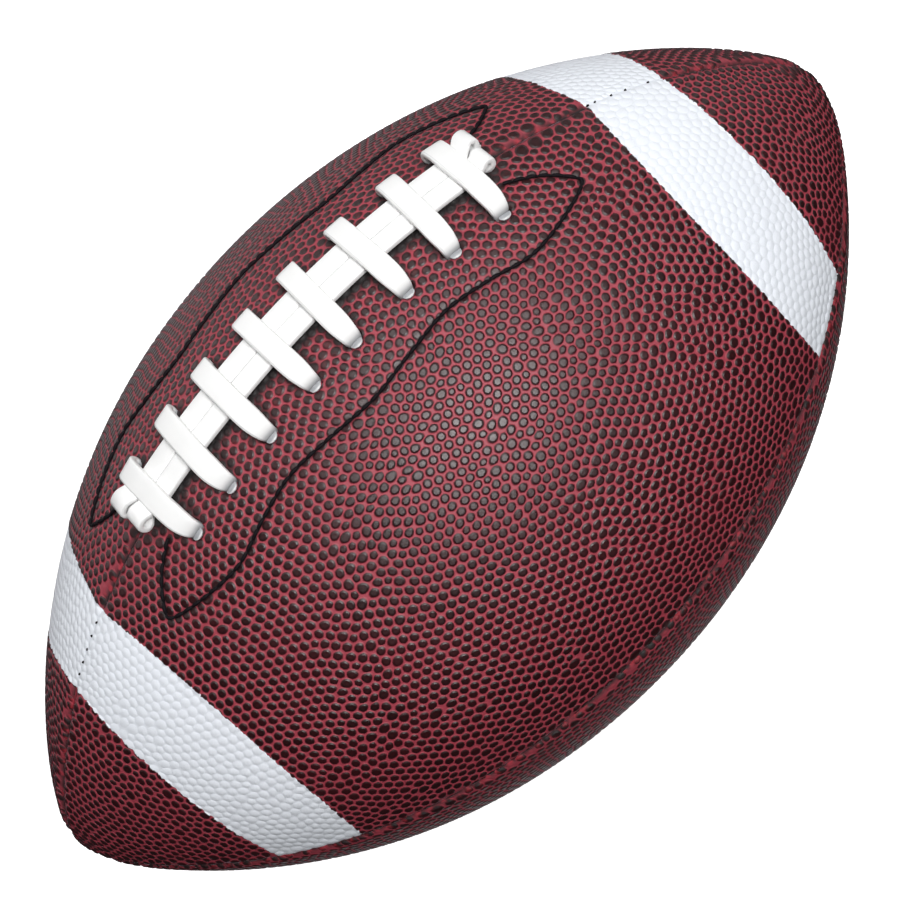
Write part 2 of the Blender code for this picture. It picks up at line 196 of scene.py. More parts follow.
def angle_near(angle, middle):
    """The same angle, turned to within half a turn of middle."""
    return middle + (angle - middle + math.pi) % (2 * math.pi) - math.pi


def way_along(angle):
    """theta at close steps from tip to tip at one angle, and how far along the leather each is."""
    fine = np.linspace(-0.5 * math.pi, 0.5 * math.pi, 2000)
    line = skin(fine, np.full(len(fine), angle))
    return fine, np.concatenate([[0], np.cumsum(np.linalg.norm(np.diff(line, axis=0), axis=1))])


def raised(theta, angle, height):
    return skin(theta, angle) + np.asarray(height)[..., None] * directions(theta, angle)[2]


def theta_of(x):
    return np.arcsin(np.clip(np.asarray(x) / HALF_LENGTH, -1, 1))


def on_leather(points):
    """theta and angle of points close to the leather."""
    angle = np.arctan2(-points[:, 1], points[:, 2] - CENTRE.z)
    radius = np.hypot(points[:, 1], points[:, 2] - CENTRE.z) / (1 + SEAM_RISE * np.cos(4 * angle))
    theta = np.arcsin(np.clip(points[:, 0] / HALF_LENGTH, -1, 1))
    for _ in range(2):
        sine = np.sin(theta)
        bulge = np.sqrt(1 + PROFILE_2 * sine**2 + PROFILE_4 * sine**4)
        theta = np.arctan2(points[:, 0] / HALF_LENGTH, radius / (RADIUS * bulge))
    return theta, angle


def place(x, s, height):
    """A point near the laces, and the unit vectors there along X, along s and out."""
    theta = theta_of(np.asarray(x, float))
    angle = np.asarray(s, float) / (girth(theta) * (1 + SEAM_RISE))
    return raised(theta, angle, height), *directions(theta, angle)


def bump(value, width):
    return np.exp(-((value / width) ** 2))


def soft_step(value, low, high):
    share = np.clip((value - low) / (high - low), 0, 1)
    return share * share * (3 - 2 * share)


# Meshes and pieces


def add_object(name, data):
    thing = bpy.data.objects.new(name, data)
    bpy.context.scene.collection.objects.link(thing)
    return thing


def add_piece(name, mesh, look, replaced=()):
    piece = add_object(name, mesh)
    mesh.materials.append(look)
    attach(piece, "root")
    if replaced:
        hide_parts(*replaced)


def make_mesh(name, points, faces, sharp=None):
    mesh = bpy.data.meshes.new(name)
    mesh.from_pydata([tuple(p) for p in points], [], faces)
    mesh.update()
    mesh.shade_smooth()
    if sharp:
        mesh.set_sharp_from_angle(angle=math.radians(sharp))
    return mesh


def set_values(mesh, name, values):
    attribute = mesh.attributes.new(name, "FLOAT", "POINT")
    attribute.data.foreach_set("value", np.asarray(values, np.float32))


# Materials


class Look:
    """A Principled material and short calls for its nodes."""

    def __init__(self, name, roughness, specular):
        self.material = bpy.data.materials.new(name)
        self.material.use_nodes = True
        self.tree = self.material.node_tree
        self.shader = self.tree.nodes["Principled BSDF"]
        self.shader.inputs["Roughness"].default_value = roughness
        self.shader.inputs["Specular IOR Level"].default_value = specular
        self.coordinates = self.tree.nodes.new("ShaderNodeTexCoord").outputs["Object"]

    def feed(self, socket, value):
        if isinstance(value, bpy.types.NodeSocket):
            self.tree.links.new(value, socket)
        else:
            socket.default_value = value

    def math(self, operation, first, second):
        node = self.tree.nodes.new("ShaderNodeMath")
        node.operation = operation
        self.feed(node.inputs[0], first)
        self.feed(node.inputs[1], second)
        return node.outputs[0]

    def attribute(self, name):
        node = self.tree.nodes.new("ShaderNodeAttribute")
        node.attribute_name = name
        return node.outputs["Fac"]

    def noise(self, scale, detail=2.0, roughness=0.5):
        node = self.tree.nodes.new("ShaderNodeTexNoise")
        self.feed(node.inputs["Vector"], self.coordinates)
        node.inputs["Scale"].default_value = scale
        node.inputs["Detail"].default_value = detail
        node.inputs["Roughness"].default_value = roughness
        return node.outputs["Fac"]

    def spread(self, value, low, high, to_low=0.0, to_high=1.0):
        node = self.tree.nodes.new("ShaderNodeMapRange")
        self.feed(node.inputs["Value"], value)
        node.inputs["From Min"].default_value = low
        node.inputs["From Max"].default_value = high
        node.inputs["To Min"].default_value = to_low
        node.inputs["To Max"].default_value = to_high
        return node.outputs["Result"]

    def mix(self, share, first, second):
        node = self.tree.nodes.new("ShaderNodeMix")
        node.data_type = "RGBA"
        self.feed(node.inputs["Factor"], share)
        self.feed(node.inputs["A"], first)
        self.feed(node.inputs["B"], second)
        return node.outputs["Result"]

    def ramp(self, value, stops):
        node = self.tree.nodes.new("ShaderNodeValToRGB")
        self.feed(node.inputs["Fac"], value)
        elements = node.color_ramp.elements
        elements[0].position, elements[0].color = stops[0]
        elements[1].position, elements[1].color = stops[-1]
        for position, colour in stops[1:-1]:
            elements.new(position).color = colour
        return node.outputs["Color"]

    def bump(self, height, distance, strength):
        node = self.tree.nodes.new("ShaderNodeBump")
        node.inputs["Strength"].default_value = strength
        node.inputs["Distance"].default_value = distance
        self.feed(node.inputs["Height"], height)
        self.feed(self.shader.inputs["Normal"], node.outputs["Normal"])

    def colour(self, value):
        self.feed(self.shader.inputs["Base Color"], value)

    def roughness(self, value):
        self.feed(self.shader.inputs["Roughness"], value)


def leather_look():
    """Crimson between the grains, nearly black on top of them, with the stripes painted over both."""
    look = Look("pebbled_leather", 0.5, 0.7)
    look.shader.inputs["Sheen Weight"].default_value = 0.14
    look.shader.inputs["Sheen Roughness"].default_value = 0.18
    look.shader.inputs["Sheen Tint"].default_value = (1.0, 0.66, 0.86, 1)
    grain = look.attribute("grain")
    two_tone = look.ramp(
        grain,
        [
            (0.0, (0.35, 0.040, 0.064, 1)),
            (0.28, (0.38, 0.045, 0.069, 1)),
            (0.38, (0.28, 0.028, 0.044, 1)),
            (0.49, (0.060, 0.004, 0.008, 1)),
            (0.60, (0.010, 0.0008, 0.0014, 1)),
            (0.82, (0.010, 0.0009, 0.0014, 1)),
            (1.0, (0.022, 0.0024, 0.0030, 1)),
        ],
    )
    patches = look.spread(look.noise(55, 3), 0.35, 0.75, 0, 0.16)
    mottled = look.mix(patches, two_tone, (0.13, 0.006, 0.014, 1))
    tone = look.spread(look.attribute("tone"), 0, 1, 0.0, 0.08)
    toned = look.mix(tone, mottled, (0.10, 0.010, 0.018, 1))
    scuffed = look.mix(look.attribute("scuff"), toned, (0.50, 0.020, 0.040, 1))
    # Painted shade: the attribute shade darkens the leather nearly to black in the grooves, the lace holes
    # and beside the laces
    shaded = look.mix(look.attribute("shade"), scuffed, (0.004, 0.001, 0.0015, 1))
    rough_edge = look.spread(look.noise(900, 2), 0.3, 0.7, -0.00022, 0.00022)
    stripe = look.spread(look.math("ADD", look.attribute("stripe"), rough_edge), -0.00006, 0.00006)
    # Painted shade: the stripe paint is a little greyer down between the grains than on their tops
    paint = look.mix(look.spread(grain, 0, 0.5), (0.84, 0.875, 0.935, 1), (0.88, 0.915, 0.975, 1))
    look.colour(look.mix(stripe, shaded, paint))
    worn = look.spread(look.noise(380, 3), 0.2, 0.8, -0.05, 0.05)
    smooth_tops = look.math("ADD", worn, look.spread(grain, 0.4, 0.75, 0.60, 0.41))
    # Rougher where painted shade or real scuffs lie
    shade_and_scuff = look.math("MAXIMUM", look.attribute("shade"), look.attribute("scuff"))
    look.roughness(look.math("ADD", smooth_tops, look.spread(shade_and_scuff, 0, 0.6, 0, 0.22)))
    look.bump(look.noise(2600, 3, 0.6), 0.00012, 0.35)
    return look.material


def lace_look():
    look = Look("white_lace", 0.42, 0.4)
    # The attribute edge greys the lace: painted shade along the folded lip and where the lace sinks into its
    # holes, and on the hole lips both their own light grey and painted shade
    grey = look.mix(look.attribute("edge"), (0.93, 0.93, 0.925, 1), (0.34, 0.35, 0.37, 1))
    clean = look.mix(look.spread(look.noise(120, 3), 0.4, 0.8, 0, 0.06), grey, (0.62, 0.60, 0.56, 1))
    look.colour(clean)
    look.roughness(look.spread(look.noise(300, 2), 0.2, 0.8, 0.36, 0.5))
    look.bump(look.noise(900, 3), 0.00008, 0.25)
    return look.material


def thread_look():
    look = Look("waxed_thread", 0.7, 0.15)
    look.colour(look.mix(look.noise(1500, 2), (0.003, 0.002, 0.003, 1), (0.010, 0.007, 0.010, 1)))
    look.bump(look.noise(3000, 2), 0.0001, 0.5)
    return look.material


def plain_look(name, dark, light, roughness, scale, depth):
    look = Look(name, roughness, 0.35)
    pattern = look.noise(scale, 4)
    look.colour(look.mix(look.spread(pattern, 0.3, 0.7), dark, light))
    look.bump(pattern, depth, 0.5)
    return look.material


def weave_look():
    look = Look("cotton_lining", 0.9, 0.2)
    waves = []
    for direction in ("X", "Y"):
        node = look.tree.nodes.new("ShaderNodeTexWave")
        node.bands_direction = direction
        node.inputs["Scale"].default_value = 180
        node.inputs["Distortion"].default_value = 0.6
        look.feed(node.inputs["Vector"], look.coordinates)
        waves.append(node.outputs["Fac"])
    weave = look.math("MAXIMUM", *waves)
    look.colour(look.mix(weave, (0.42, 0.37, 0.29, 1), (0.66, 0.60, 0.49, 1)))
    look.bump(weave, 0.0003, 0.6)
    return look.material


LEATHER = leather_look()
WHITE_LACE = lace_look()
THREAD = thread_look()
LINING = weave_look()
RUBBER = plain_look("black_rubber", (0.014, 0.014, 0.015, 1), (0.03, 0.03, 0.031, 1), 0.6, 700, 0.0001)
VINYL = plain_look("grey_vinyl", (0.24, 0.24, 0.25, 1), (0.34, 0.34, 0.35, 1), 0.55, 500, 0.0001)


# Where things lie on the leather


def lace_positions():
    first = LACE_CENTRE - 0.5 * (LACE_COUNT - 1) * LACE_PITCH
    return [first + i * LACE_PITCH for i in range(LACE_COUNT)]


def lace_x(i, s):
    """The middle of a cross lace at s."""
    front, back = LACE_DRIFT[i]
    share = np.clip((s - BACK_ROW) / (FRONT_ROW - BACK_ROW), 0, 1)
    return lace_positions()[i] + back + (front - back) * share


def lacing_sway(x):
    return np.interp(x, lace_positions(), LACE_SWAY)


def smooth_run(points, per_span):
    """Points on a Catmull-Rom curve through the given ones."""
    knots = [np.asarray(point, float) for point in [points[0], *points, points[-1]]]
    run = []
    for a, b, c, d in zip(knots, knots[1:], knots[2:], knots[3:]):
        for i in range(per_span):
            t = i / per_span
            bend = 2 * a - 5 * b + 4 * c - d
            twist = 3 * b - a - 3 * c + d
            run.append(b + 0.5 * t * (c - a + t * (bend + t * twist)))
    return np.array([*run, knots[-2]])


def stitch_route(side):
    """x and s along one facing's stitching, from the -X end to the +X end."""
    middle, *half = STITCH_OUTLINE
    left = [(LACE_CENTRE - x, side * s) for x, s in reversed(half)]
    right = [(LACE_CENTRE + x, side * s) for x, s in half]
    return smooth_run([*left, (LACE_CENTRE + middle[0], side * middle[1]), *right], 12)


STITCHES = {side: stitch_route(side) for side in (1, -1)}


def distance_to_route(x, s, route):
    """Distance of each (x, s) from a run of points, for the few that are near it."""
    found = np.full(len(x), FAR)
    low, high = route.min(0) - 0.003, route.max(0) + 0.003
    near = np.nonzero((x > low[0]) & (x < high[0]) & (s > low[1]) & (s < high[1]))[0]
    for start in range(0, len(near), 4000):
        some = near[start : start + 4000]
        spots = np.stack([x[some], s[some]], axis=-1)[:, None]
        a, b = route[:-1], route[1:]
        share = np.clip(((spots - a) * (b - a)).sum(-1) / ((b - a) ** 2).sum(-1), 0, 1)
        nearest = a + share[..., None] * (b - a)
        found[some] = np.linalg.norm(spots - nearest, axis=-1).min(1)
    return found


def stripe_depth(x, angle):
    """How far inside a painted stripe a point is, in metres; negative outside, and below the side seams."""
    degrees = np.degrees(np.abs(angle))
    inner = 0.0835 + 0.0042 * np.clip(1 - degrees / 45, 0, 1) ** 2 + 0.0012 * soft_step(degrees, 66, 90)
    outer = 0.1085 - 0.0037 * (degrees / 90) ** 3
    depth = np.minimum(np.abs(x) - inner, outer - np.abs(x))
    return np.where(degrees < 90.01, depth, NO_STRIPE)


class Spots:
    """Everything the leather needs to know at its mesh points: where they are, and what lies near."""

    def __init__(self, theta, angle):
        self.x = HALF_LENGTH * np.sin(theta)
        radius = girth(theta) * (1 + SEAM_RISE)
        self.s = angle * radius
        turns = angle / QUARTER
        self.seam = np.abs(turns - np.round(turns)) * QUARTER * radius
        self.stripe = stripe_depth(self.x, angle)
        self.stitch = np.minimum(*[distance_to_route(self.x, self.s, STITCHES[side]) for side in (1, -1)])
        self.valve = np.hypot(self.x, (angle - VALVE_ANGLE) * radius)
        self.lacing = 1 - soft_step(np.abs(self.x - LACE_CENTRE), 0.058, 0.066)
        self.lacing_s = self.s - lacing_sway(self.x)
        self.hole = np.full(len(theta), FAR)
        self.lace = np.full(len(theta), FAR)
        for i in range(LACE_COUNT):
            for row in (FRONT_ROW, BACK_ROW):
                off = np.hypot((self.x - lace_x(i, row)) / 0.9, self.lacing_s - row)
                self.hole = np.minimum(self.hole, off)
            self.lace = np.minimum(self.lace, np.abs(self.x - lace_x(i, self.lacing_s)))

    def height(self):
        """How far the leather without its grain stands off the plain ball."""
        on_paint = soft_step(self.stripe, -0.001, 0.001) * (1 - soft_step(np.abs(self.s), 0.006, 0.010))
        plain_seam = -SEAM_GROOVE * bump(self.seam, 0.0008) + 0.00022 * bump(self.seam - 0.0030, 0.0013)
        painted_seam = -PAINTED_SEAM_GROOVE * bump(self.seam, 0.0010)
        seam = plain_seam * (1 - on_paint) + painted_seam * on_paint - GRAIN_HEIGHT
        pucker = self.lacing * bump(np.abs(self.lacing_s - 0.5 * (FRONT_ROW + BACK_ROW)) - 0.013, 0.005)
        wave = np.cos(2 * math.pi * (self.x - LACE_CENTRE - 0.5 * LACE_PITCH) / LACE_PITCH)
        hole = -0.0030 * (1 - soft_step(self.hole, 0.0020, 0.0027)) - 0.0003 * bump(self.hole, 0.0042)
        stitch = -STITCH_GROOVE * bump(self.stitch, 0.0009)
        valve = -0.0030 * (1 - soft_step(self.valve, VALVE_HOLE - 0.0004, VALVE_HOLE + 0.0002))
        return seam + 0.0002 * pucker * wave + hole + stitch + valve

    def grain_share(self):
        """How much of its height a grain keeps here."""
        kept = 1 - 0.75 * bump(self.stitch, 0.0008)
        kept = kept * (0.45 + 0.55 * soft_step(self.hole, 0.0024, 0.0042))
        return kept * (1 - 0.52 * soft_step(self.stripe, -0.0005, 0.0005))

    def shade(self, bald):
        """How much painted shade lies here: in the seam groove, under and beside the laces, along the stitch
        groove and down in the lace holes; bald places along the seams stay bright.
        """
        # Painted shade in the seam groove, left off the bald patches
        seam_groove_shade = np.maximum(bump(self.seam, 0.0012) * (1 - bald), 0.6 * bump(self.seam, 0.00030))
        on_paint = soft_step(self.stripe, -0.0008, 0.0002)
        # Painted shadow under and beside the strands and the cross laces
        under_strands = bump(np.maximum(np.abs(self.lacing_s - 0.0001) - 0.0066, 0), 0.0017)
        crossed = soft_step(self.lacing_s, -0.0135, -0.0115)
        crossed = crossed * (1 - soft_step(self.lacing_s, 0.0145, 0.0165))
        under_crossing = 0.85 * crossed * bump(np.maximum(self.lace - 0.5 * LACE_WIDTH, 0), 0.0013)
        under_laces = self.lacing * np.maximum(under_strands, under_crossing)
        # Painted shade along the stitch groove and inside the lace holes
        stitch = 0.85 * bump(self.stitch, 0.00055)
        hole = 1 - soft_step(self.hole, 0.0022, 0.0031)
        return np.clip(seam_groove_shade * (1 - on_paint) + under_laces + stitch + hole, 0, 1)


# The leather covers


def seam_sites(angle, count):
    """Even points along a seam, without the two tips."""
    fine, run = way_along(angle)
    theta = np.interp(np.linspace(0, run[-1], count)[1:-1], run, fine)
    return theta, np.full(len(theta), angle)


def first_sites(random, low, high):
    """Rows of sites over a panel, staggered like hexagons."""
    fine, run = way_along(0.5 * (low + high))
    rows = int(run[-1] / (0.866 * PITCH))
    theta, angle = [], []
    for i, row in enumerate(np.interp(np.linspace(PITCH, run[-1] - PITCH, rows), run, fine)):
        width = float(girth(row)) * (high - low)
        count = max(int((width - PITCH) / PITCH) + 1, 1)
        spread = (np.arange(count) + 0.5 + 0.25 * (-1) ** i + random.uniform(-0.26, 0.26, count)) / count
        theta.extend(row + random.uniform(-0.22, 0.22, count) * PITCH / run[-1] * math.pi)
        angle.extend(low + (high - low) * np.clip(spread, 0.01, 0.99))
    return np.array(theta), np.array(angle)


def neighbours(points, count):
    """For each point, the numbers of the nearest others."""
    tree = kdtree.KDTree(len(points))
    for i, point in enumerate(points):
        tree.insert(point, i)
    tree.balance()
    return np.array([[j for _, j, _ in tree.find_n(point, count + 1)[1:]] for point in points])


def swirled(theta, angle, seed):
    """Sites carried along a smooth swirl, which turns their rows one way here and another there."""
    away = Vector((seed, 0, 0))
    step = 0.001
    for _ in range(3):
        points = skin(theta, angle)
        here, *beside = (
            np.array([noise.noise((Vector(p) + step * Vector(shift)) * SWIRL_SCALE + away) for p in points])
            for shift in ((0, 0, 0), (1, 0, 0), (0, 1, 0), (0, 0, 1))
        )
        slope = np.stack([value - here for value in beside], axis=-1) / (step * SWIRL_SCALE)
        theta, angle = on_leather(points + SWIRL_REACH * np.cross(directions(theta, angle)[2], slope))
    return theta, angle


def relaxed_sites(random, low, high, fixed):
    """Sites pushed apart until they lie evenly, in rows that flow and break as real grain does."""
    theta, angle = swirled(*first_sites(random, low, high), 3.0 * low)
    edge = skin(*fixed)
    size = np.concatenate([random.uniform(0.92, 1.08, len(theta)), np.full(len(edge), 0.05)])
    for step in range(RELAXING_ROUNDS):
        points = np.concatenate([skin(theta, angle), edge])
        if step % 4 == 0:
            near = neighbours(points, 8)
        away = points[:, None] - points[near]
        gap = np.linalg.norm(away, axis=-1)
        wanted = 1.06 * PITCH * 0.5 * (size[:, None] + size[near])
        push = np.clip(wanted - gap, 0, None) / np.maximum(gap, 1e-9)
        points = points + 0.32 * (push[..., None] * away).sum(1)
        theta, angle = on_leather(points[: len(theta)])
        angle = angle_near(angle, 0.5 * (low + high))
        margin = np.minimum(SEAM_MARGIN / np.maximum(girth(theta), 1e-4), 0.45 * (high - low))
        angle = np.clip(angle, low + margin, high - margin)
    return theta, angle


def grain_faces(sites, triangles, plain):
    """Faces of raised grains, one on each site that isn't plain.

    The mesh points are the sites, then the triangles' middles, then for each corner of each grain a foot
    point, another half way to the next corner, and a top point there. Returns the faces, and for each corner
    its site, its own and its next triangle.
    """
    count = len(sites)
    site = triangles.ravel()
    triangle = np.repeat(np.arange(len(triangles)), 3)
    middles = sites[triangles].mean(1)
    arm = middles[triangle] - sites[site]
    order = np.lexsort((np.arctan2(arm[:, 1], arm[:, 0]), site))
    site, triangle = site[order], triangle[order]
    first = np.searchsorted(site, np.arange(count))
    last = np.searchsorted(site, np.arange(count), side="right") - 1
    following = np.arange(len(site)) + 1
    following[last] = first
    after = triangle[following]
    foot = count + len(triangles) + np.arange(len(site))
    side = foot + len(site)
    top = side + len(site)
    corner = count + triangle
    next_corner = count + after
    before = np.empty(len(site), int)
    before[following] = np.arange(len(site))
    grain = ~plain[site]
    faces = [
        np.stack(corners, axis=-1)[grain]
        for corners in (
            (corner, next_corner, side),
            (next_corner, foot[following], side),
            (foot, corner, side),
            (foot, side, top),
            (side, foot[following], top),
            (top, top[before], foot),
            (site, top[before], top),
        )
    ]
    return faces, site, triangle, after


def triangulated(chart, chosen):
    """Triangles between the chosen places of a flat chart, all turned the same way."""
    flat = geometry.delaunay_2d_cdt([Vector(p) for p in chart[chosen]], [], [], 0, 1e-9)
    triangles = chosen[np.array([origin[0] for origin in flat[3]])][np.array(flat[2])]
    first, second, third = chart[triangles].transpose(1, 0, 2)
    turned = np.cross(second - first, third - first)
    triangles[turned < 0] = triangles[turned < 0][:, ::-1]
    return triangles


def rounded(arms, site, share):
    """The arms of each site's grain, brought part of the way to one length."""
    length = np.linalg.norm(arms, axis=1)
    mean = np.bincount(site, length) / np.maximum(np.bincount(site), 1)
    return arms * (1 - share + share * mean[site] / length)[:, None]


def panel_sites(random, low, high):
    """theta and angle of a panel's sites, first those of the grains and then those on its seams and tips."""
    seams = [seam_sites(low, SEAM_SITES), seam_sites(high, SEAM_SITES)]
    tips = (np.array([-0.5 * math.pi, 0.5 * math.pi]), np.full(2, 0.5 * (low + high)))
    fixed = tuple(np.concatenate([part[i] for part in (*seams, tips)]) for i in (0, 1))
    theta, angle = relaxed_sites(random, low, high, fixed)
    return np.concatenate([theta, fixed[0]]), np.concatenate([angle, fixed[1]]), len(theta)


def add_panel(name, seed, low, high):
    """One leather cover: every grain a raised, flat-topped pebble, and a plain inner face."""
    random = np.random.default_rng(seed)
    theta, angle, grains = panel_sites(random, low, high)
    total = len(theta)
    middle = 0.5 * (low + high)
    chart = np.stack([1.25 * RADIUS * theta, (angle - middle) * girth(theta)], axis=-1)
    triangles = triangulated(chart, np.arange(total))
    thinned = np.concatenate([np.arange(0, grains, INNER_THINNING), np.arange(grains, total)])
    inner_triangles = triangulated(chart, thinned)
    plain = np.arange(total) >= grains

    # Mesh points outside: sites, middles of triangles, and each grain's foot, side and top
    base = skin(theta, angle)
    faces, site, own, after = grain_faces(chart, triangles, plain)
    pull = np.where(plain, SEAM_PULL, 1.0)[triangles][..., None]
    middles = (pull * base[triangles]).sum(1) / pull.sum(1)
    top_size = GRAIN_TOP * random.uniform(0.94, 1.06, total)[site][:, None]
    toward = 0.5 * (middles[own] + middles[after]) - base[site]
    foot = base[site] + GRAIN_BASE * rounded(middles[own] - base[site], site, 0.4)
    side = base[site] + GRAIN_BASE * SIDE_REACH * rounded(toward, site, 0.4)
    top = base[site] + top_size * rounded(toward, site, 0.55)
    points = np.concatenate([base, middles, foot, side, top])
    inner = len(points)
    first_foot, first_top = total + len(middles), inner - len(top)
    spot_theta, spot_angle = on_leather(points)
    spot_angle = angle_near(spot_angle, middle)
    spot_theta[grains:total], spot_angle[grains:total] = theta[grains:], angle[grains:]
    spots = Spots(spot_theta, spot_angle)
    rise = np.zeros(inner)
    rise[:grains] = DOME
    rise[first_top:] = 1
    owner = np.concatenate([np.arange(total), np.zeros(len(middles), int), site, site, site])
    kept = 1 - worn_grains(random, spots, total)[owner]
    kept[total:first_foot] = 1
    height = spots.height() + GRAIN_HEIGHT * spots.grain_share() * kept * rise
    points = raised(spot_theta, spot_angle, height)

    # The inner face, and the edge between the two
    inner_theta, inner_angle = on_leather(base)
    inner_angle = angle_near(inner_angle, middle)
    inner_theta[grains:], inner_angle[grains:] = theta[grains:], angle[grains:]
    deep = raised(inner_theta, inner_angle, np.full(total, -COVER))
    points = pulled_off_seams(np.concatenate([points, deep]), low, high)
    border = border_edges(triangles)
    start, end = border.T
    faces += boundary_fans(triangles, plain, total)
    faces.append(inner_triangles[:, ::-1] + inner)
    faces.append(np.stack([end, start, start + inner, end + inner], axis=-1))
    used = np.unique(np.concatenate([part.ravel() for part in faces]))
    renumber = np.full(len(points), -1)
    renumber[used] = np.arange(len(used))
    mesh = make_mesh(name, points[used], [tuple(f) for part in faces for f in renumber[part].tolist()], 62)
    ring = np.zeros(len(points), int)
    ring[first_foot:first_top] = 1
    ring[first_top:inner] = np.where(spots.stripe[first_top:] > 0, 0, 2)
    crisp_rings(mesh, ring[used])

    # What the material reads
    grain = np.zeros(inner)
    grain[:grains] = 1
    grain[first_foot:first_top] = FOOT_VALUE
    grain[first_top:] = RIM_VALUE
    scuff = scuffs(points[:inner], spots)
    shade = spots.shade(np.clip(1.3 * scuff, 0, 1))
    tone = random.uniform(0, 1, total)[owner]
    for label, values, within in (
        ("grain", grain * kept, 0),
        ("shade", shade, 0),
        ("stripe", spots.stripe, NO_STRIPE),
        ("tone", tone, 0),
        ("scuff", scuff, 0),
    ):
        set_values(mesh, label, np.concatenate([values, np.full(total, within)])[used])
    add_piece(f"{name}_leather", mesh, LEATHER, [name])


def crisp_rings(mesh, ring):
    """Makes the rims of the grains crisp: the edges between two points of one ring number above 0."""
    ends = np.zeros(2 * len(mesh.edges), int)
    mesh.edges.foreach_get("vertices", ends)
    first, second = ring[ends.reshape(-1, 2)].T
    crisp = (first == second) & (first > 0)
    attribute = mesh.attributes.get("sharp_edge") or mesh.attributes.new("sharp_edge", "BOOLEAN", "EDGE")
    sharp = np.zeros(len(crisp), bool)
    attribute.data.foreach_get("value", sharp)
    attribute.data.foreach_set("value", sharp | crisp)


def worn_grains(random, spots, total):
    """How far each site's grain is worn away: some of them along the plain seams are."""
    near = bump(spots.seam[:total], 0.0030) * (1 - soft_step(spots.stripe[:total], -0.0010, 0.0))
    return 0.8 * soft_step(near * random.uniform(0.0, 1.0, total), 0.58, 0.66)


def border_edges(triangles):
    """The edges that belong to one triangle only, in that triangle's direction."""
    edges = np.concatenate([triangles[:, [i, (i + 1) % 3]] for i in range(3)])
    key = np.sort(edges, axis=1)
    _, index, uses = np.unique(key, axis=0, return_index=True, return_counts=True)
    return edges[index[uses == 1]]


def boundary_fans(triangles, plain, count):
    """Faces round the sites on the seams, which have no grain: from each site to the middles beside it."""
    edges = {}
    for t, corners in enumerate(triangles.tolist()):
        for i in range(3):
            edges[(corners[i], corners[(i + 1) % 3])] = t
    faces = []
    for (a, b), t in edges.items():
        other = edges.get((b, a))
        if other is None:
            faces.append((a, b, count + t))
        elif plain[a]:
            faces.append((a, count + other, count + t))
    return [np.array(faces)]


def pulled_off_seams(points, low, high):
    """Moves a panel's points off its two seam planes by half the gap between panels."""
    sides = np.array([-math.sin(0.5 * (low + high)), math.cos(0.5 * (low + high))])
    moved = points.copy()
    for axis, sign in ((1, math.copysign(1, sides[0])), (2, math.copysign(1, sides[1]))):
        centre = CENTRE[axis]
        offset = sign * (moved[:, axis] - centre)
        moved[:, axis] = centre + sign * np.maximum(offset, PANEL_GAP)
    return moved


def scuffs(points, spots):
    """How far the dark tops have rubbed through to crimson, in patches at the seams and beside the laces."""
    rough = np.array([noise.noise(Vector(p) * 640) for p in points])
    patchy = soft_step(rough, 0.10, 0.24)
    seam = bump(spots.seam, 0.0010)
    beside = spots.lacing * (1 - soft_step(np.abs(spots.lacing_s - 0.002), 0.011, 0.017))
    return np.clip(patchy * (0.85 * seam + 0.12 * beside), 0, 1)


# The lace: stations (x, s, height, width, thickness, width direction along X, width direction along s)


def strand_end(side, direction):
    """Stations from inside the ball, out of the slit, round the end loop and onto a strand.

    direction is -1 at the end on -X and 1 at the end on +X. side is 1 for the front strand.
    """
    mouth = SLIT_ENDS[0 if direction < 0 else 1]
    loop, sway, top = LOOPS[(side, direction)]
    full = side * STRAND_OFFSET
    stations = [
        (0.0002, side * 0.0017, -0.0046, 0.0027, 0.0024),
        (0.0002, side * 0.0017, -0.0016, 0.0030, 0.0022),
        (0.0004, side * 0.0021 + 0.3 * sway, 0.0002, 0.0042, 0.0018),
        (0.55 * loop, side * 0.0027 + 0.7 * sway, 0.0008, 0.0054, LACE_THICKNESS),
        (0.92 * loop, full + sway, 0.0015, STRAND_WIDTH, LACE_THICKNESS),
        (loop, full + sway, 0.5 * (top + 0.0015), STRAND_WIDTH, LACE_THICKNESS),
        (0.9 * loop - 0.0003, full + sway, top - 0.0003, STRAND_WIDTH, LACE_THICKNESS),
        (0.4 * loop - 0.0008, full + 0.8 * sway, top, STRAND_WIDTH, LACE_THICKNESS),
        (-0.0012, full + 0.45 * sway, top - 0.0010, STRAND_WIDTH, LACE_THICKNESS),
        (-0.0030, full + 0.1 * sway, 0.0017, STRAND_WIDTH, LACE_THICKNESS),
    ]
    return [(mouth + direction * out, *rest, 0, 1) for out, *rest in stations]


def strand_run(side):
    """Stations of a strand between its two end loops."""
    stops = np.linspace(-0.0560, 0.0510, 13)
    return [(x, side * STRAND_OFFSET + 0.0001, 0.0012, STRAND_WIDTH, LACE_THICKNESS, 0, 1) for x in stops]


